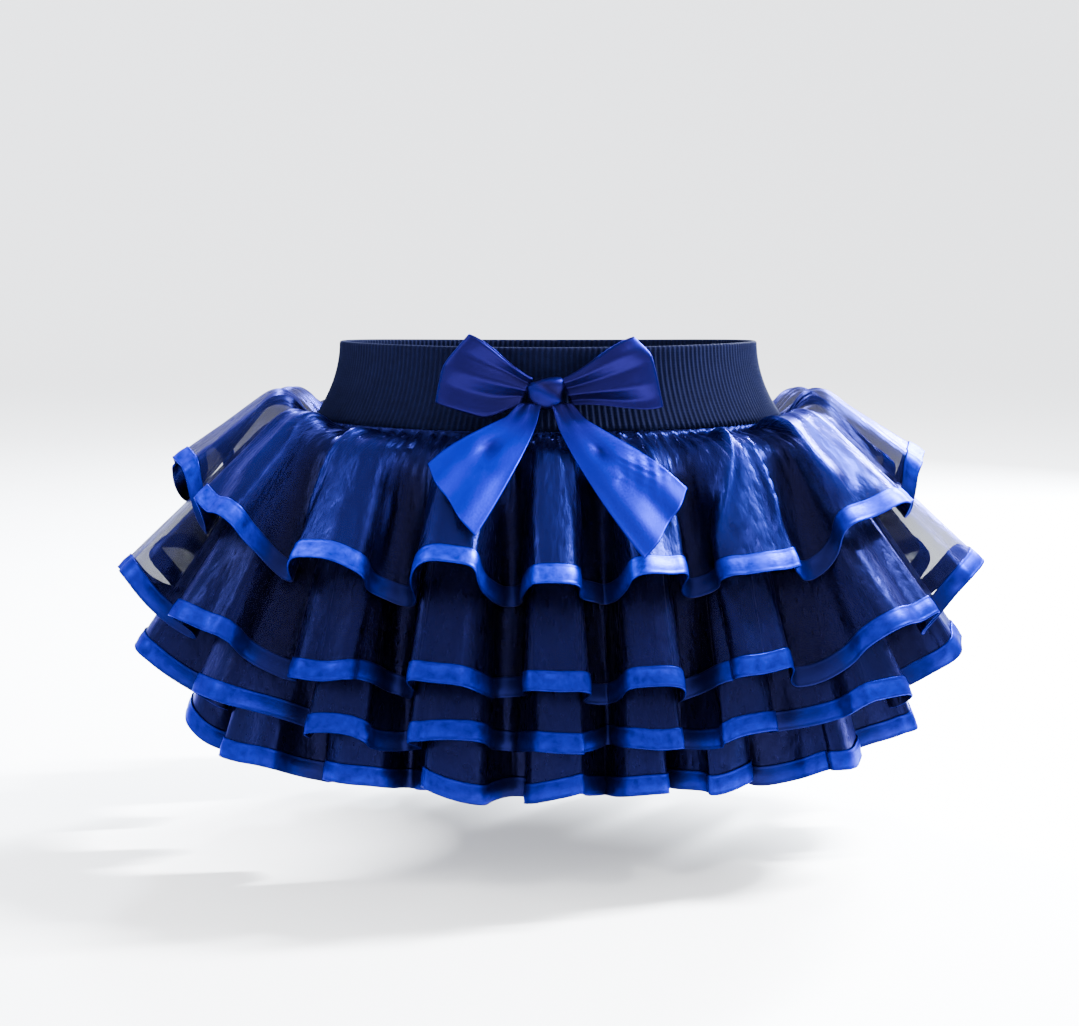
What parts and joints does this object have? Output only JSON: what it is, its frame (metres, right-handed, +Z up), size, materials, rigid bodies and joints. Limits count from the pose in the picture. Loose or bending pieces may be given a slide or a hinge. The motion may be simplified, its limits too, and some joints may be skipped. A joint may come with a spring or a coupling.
{
  "type": "tutu skirt",
  "caption": "Child's tutu skirt, filled out as worn: an oval rib-knit waistband over gathered sheer ruffles in tiers, with satin ribbon hems and a satin bow in front.",
  "frame": {"origin": "the centre of the waist, at mid-height of the waistband, where a wearer or a display form holds the skirt", "axes": "+Z up through the waist, -Y to the front where the bow is, +X to the right of someone facing the front"},
  "size_m": [0.4493, 0.3099, 0.2226],
  "materials": {
    "rib_knit": "matte navy rib knit, fine vertical ribs",
    "organza": "sheer glossy navy organza",
    "satin_ribbon": "glossy royal-blue satin ribbon",
    "bow_satin": "glossy royal-blue satin ribbon, wide"
  },
  "bodies": {
    "root": {"waistband": "rib_knit", "tier_1": "organza", "hem_ribbon_1": "satin_ribbon", "tier_2": "organza", "hem_ribbon_2": "satin_ribbon", "tier_3": "organza", "hem_ribbon_3": "satin_ribbon", "tier_4": "organza", "hem_ribbon_4": "satin_ribbon", "bow_loop_left": "bow_satin", "bow_loop_right": "bow_satin", "bow_knot": "bow_satin", "bow_tail_left": "bow_satin", "bow_tail_right": "bow_satin"}
  },
  "joints": []
}
